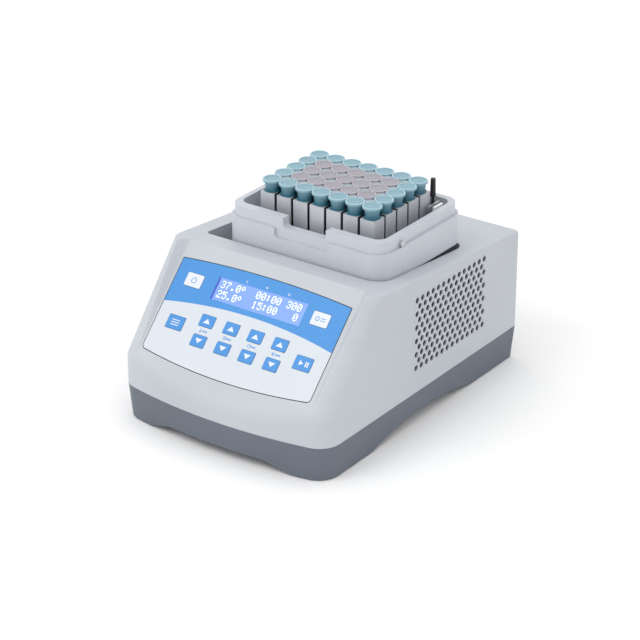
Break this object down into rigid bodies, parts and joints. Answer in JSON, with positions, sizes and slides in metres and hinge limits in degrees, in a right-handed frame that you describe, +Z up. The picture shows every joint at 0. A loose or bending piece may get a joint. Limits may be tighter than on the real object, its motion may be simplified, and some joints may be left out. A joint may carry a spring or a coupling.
{
  "type": "dry block heater",
  "caption": "Bench dry block heater and shaker with a sloped keypad and display, a floating collar round a heated aluminium block, and microtubes in its wells.",
  "frame": {"origin": "on the table under the middle of the bounding box", "axes": "+X right seen from the front, +Y to the rear, +Z up; the control panel faces -Y"},
  "size_m": [0.1892, 0.2688, 0.1668],
  "materials": {
    "case_light": "fine matte moulded plastic",
    "case_dark": "fine matte moulded plastic",
    "collar_grey": "fine matte moulded plastic",
    "rubber_black": "moulded rubber",
    "screw_steel": "zinc plated",
    "overlay_print": "printed polyester overlay, blue band over near-white",
    "key_blue": "printed blue key",
    "key_white": "printed white key",
    "lcd_clear": "clear display window",
    "lcd_blue": "lit liquid crystal display",
    "board_green": "glass-epoxy circuit board",
    "component_dark": "moulded components",
    "black_plastic": "black moulded plastic",
    "white_plastic": "white moulded plastic",
    "aluminium_block": "anodised machined aluminium",
    "plate_steel": "sheet steel",
    "motor_steel": "motor can",
    "iron_weight": "counterweight",
    "brass_bush": "sintered bush",
    "insulation_foam": "ceramic fibre board",
    "heater_orange": "silicone heater mat",
    "tube_teal": "translucent teal polypropylene",
    "tube_pink": "translucent pink polypropylene"
  },
  "bodies": {
    "root": {"base_tray": "case_dark", "rubber_feet": "rubber_black", "case_screws": "screw_steel", "upper_case": "case_light", "vent_grille_left": "case_light", "vent_grille_right": "case_light", "front_overlay": "overlay_print", "lcd_window": "lcd_clear", "lcd_module": "lcd_blue", "keypad_board": "board_green", "keypad_screws": "screw_steel", "board_standoffs": "screw_steel", "control_board": "board_green", "board_components": "component_dark", "transformer": "component_dark", "power_inlet": "black_plastic", "inlet_pins": "screw_steel", "fuse_holder": "black_plastic", "switch_frame": "black_plastic", "fan_frame": "black_plastic", "motor": "motor_steel", "bracket_posts": "screw_steel", "motor_bracket": "plate_steel", "idler_bushes": "brass_bush"},
    "eccentric": {"eccentric_hub": "screw_steel", "counterweight": "iron_weight"},
    "idler_front_left": {"idler_front_left": "screw_steel"},
    "idler_rear_left": {"idler_rear_left": "screw_steel"},
    "idler_front_right": {"idler_front_right": "screw_steel"},
    "idler_rear_right": {"idler_rear_right": "screw_steel"},
    "platform": {"carrier_plate": "plate_steel", "orbit_bearing": "screw_steel", "heater_housing": "case_dark", "insulation": "insulation_foam", "heater_mat": "heater_orange", "heater_plate": "aluminium_block", "temperature_probe": "screw_steel", "collar": "collar_grey", "collar_pin": "screw_steel", "clamp_bracket": "plate_steel", "clamp_pad": "white_plastic"},
    "clamp_lever": {"clamp_lever": "black_plastic"},
    "block": {"heating_block": "aluminium_block"},
    "tubes": {"outer_tubes": "tube_teal", "inner_tubes": "tube_pink"},
    "fan_rotor": {"fan_rotor": "black_plastic"},
    "switch_rocker": {"switch_rocker": "black_plastic"},
    "fuse_drawer": {"fuse_drawer": "black_plastic"},
    "key_up_1": {"key_up_1": "key_blue"},
    "key_down_1": {"key_down_1": "key_blue"},
    "key_up_2": {"key_up_2": "key_blue"},
    "key_down_2": {"key_down_2": "key_blue"},
    "key_up_3": {"key_up_3": "key_blue"},
    "key_down_3": {"key_down_3": "key_blue"},
    "key_up_4": {"key_up_4": "key_blue"},
    "key_down_4": {"key_down_4": "key_blue"},
    "key_side_left": {"key_side_left": "key_blue"},
    "key_side_right": {"key_side_right": "key_blue"},
    "key_top_left": {"key_top_left": "key_white"},
    "key_top_right": {"key_top_right": "key_white"}
  },
  "joints": [
    {"name": "eccentric_spin", "type": "hinge", "parent": "root", "child": "eccentric", "pos_m": [0.0084, 0.0195, 0.07], "axis": [0, 0, 1], "continuous": true},
    {"name": "platform_orbit", "type": "hinge", "parent": "eccentric", "child": "platform", "pos_m": [0.0094, 0.0195, 0.0805], "axis": [0, 0, 1], "continuous": true},
    {"name": "idler_front_left_turn", "type": "hinge", "parent": "root", "child": "idler_front_left", "pos_m": [-0.0456, -0.0185, 0.068], "axis": [0, 0, 1], "continuous": true},
    {"name": "idler_rear_left_turn", "type": "hinge", "parent": "root", "child": "idler_rear_left", "pos_m": [-0.0456, 0.0575, 0.068], "axis": [0, 0, 1], "continuous": true},
    {"name": "idler_front_right_turn", "type": "hinge", "parent": "root", "child": "idler_front_right", "pos_m": [0.0624, -0.0185, 0.068], "axis": [0, 0, 1], "continuous": true},
    {"name": "idler_rear_right_turn", "type": "hinge", "parent": "root", "child": "idler_rear_right", "pos_m": [0.0624, 0.0575, 0.068], "axis": [0, 0, 1], "continuous": true},
    {"name": "clamp_lever_tilt", "type": "hinge", "parent": "platform", "child": "clamp_lever", "pos_m": [0.0594, 0.0606, 0.1442], "axis": [-1, 0, 0], "range_deg": [0, 30]},
    {"name": "block_lift", "type": "slide", "parent": "platform", "child": "block", "axis": [0, 0, 1], "range_m": [0, 0.06]},
    {"name": "tubes_lift", "type": "slide", "parent": "block", "child": "tubes", "axis": [0, 0, 1], "range_m": [0, 0.045]},
    {"name": "fan_spin", "type": "hinge", "parent": "root", "child": "fan_rotor", "pos_m": [-0.0855, 0.034, 0.06], "axis": [1, 0, 0], "continuous": true},
    {"name": "switch_rocker_tilt", "type": "hinge", "parent": "root", "child": "switch_rocker", "pos_m": [-0.02, 0.1281, 0.055], "axis": [1, 0, 0], "range_deg": [0, 14]},
    {"name": "fuse_drawer_slide", "type": "slide", "parent": "root", "child": "fuse_drawer", "axis": [0, 1, 0], "range_m": [0, 0.018]},
    {"name": "key_up_1_press", "type": "slide", "parent": "root", "child": "key_up_1", "axis": [0, 0.7181, -0.6959], "range_m": [0, 0.0004], "stiffness_N_per_m": 400, "springref_m": -0.002},
    {"name": "key_down_1_press", "type": "slide", "parent": "root", "child": "key_down_1", "axis": [0, 0.7181, -0.6959], "range_m": [0, 0.0004], "stiffness_N_per_m": 400, "springref_m": -0.002},
    {"name": "key_up_2_press", "type": "slide", "parent": "root", "child": "key_up_2", "axis": [0, 0.7181, -0.6959], "range_m": [0, 0.0004], "stiffness_N_per_m": 400, "springref_m": -0.002},
    {"name": "key_down_2_press", "type": "slide", "parent": "root", "child": "key_down_2", "axis": [0, 0.7181, -0.6959], "range_m": [0, 0.0004], "stiffness_N_per_m": 400, "springref_m": -0.002},
    {"name": "key_up_3_press", "type": "slide", "parent": "root", "child": "key_up_3", "axis": [0, 0.7181, -0.6959], "range_m": [0, 0.0004], "stiffness_N_per_m": 400, "springref_m": -0.002},
    {"name": "key_down_3_press", "type": "slide", "parent": "root", "child": "key_down_3", "axis": [0, 0.7181, -0.6959], "range_m": [0, 0.0004], "stiffness_N_per_m": 400, "springref_m": -0.002},
    {"name": "key_up_4_press", "type": "slide", "parent": "root", "child": "key_up_4", "axis": [0, 0.7181, -0.6959], "range_m": [0, 0.0004], "stiffness_N_per_m": 400, "springref_m": -0.002},
    {"name": "key_down_4_press", "type": "slide", "parent": "root", "child": "key_down_4", "axis": [0, 0.7181, -0.6959], "range_m": [0, 0.0004], "stiffness_N_per_m": 400, "springref_m": -0.002},
    {"name": "key_side_left_press", "type": "slide", "parent": "root", "child": "key_side_left", "axis": [0, 0.7181, -0.6959], "range_m": [0, 0.0004], "stiffness_N_per_m": 400, "springref_m": -0.002},
    {"name": "key_side_right_press", "type": "slide", "parent": "root", "child": "key_side_right", "axis": [0, 0.7181, -0.6959], "range_m": [0, 0.0004], "stiffness_N_per_m": 400, "springref_m": -0.002},
    {"name": "key_top_left_press", "type": "slide", "parent": "root", "child": "key_top_left", "axis": [0, 0.7181, -0.6959], "range_m": [0, 0.0004], "stiffness_N_per_m": 400, "springref_m": -0.002},
    {"name": "key_top_right_press", "type": "slide", "parent": "root", "child": "key_top_right", "axis": [0, 0.7181, -0.6959], "range_m": [0, 0.0004], "stiffness_N_per_m": 400, "springref_m": -0.002}
  ],
  "couplings": [
    {"joint": "platform_orbit", "follows": "eccentric_spin", "ratio": -1},
    {"joint": "idler_front_left_turn", "follows": "eccentric_spin", "ratio": 1},
    {"joint": "idler_rear_left_turn", "follows": "eccentric_spin", "ratio": 1},
    {"joint": "idler_front_right_turn", "follows": "eccentric_spin", "ratio": 1},
    {"joint": "idler_rear_right_turn", "follows": "eccentric_spin", "ratio": 1}
  ]
}
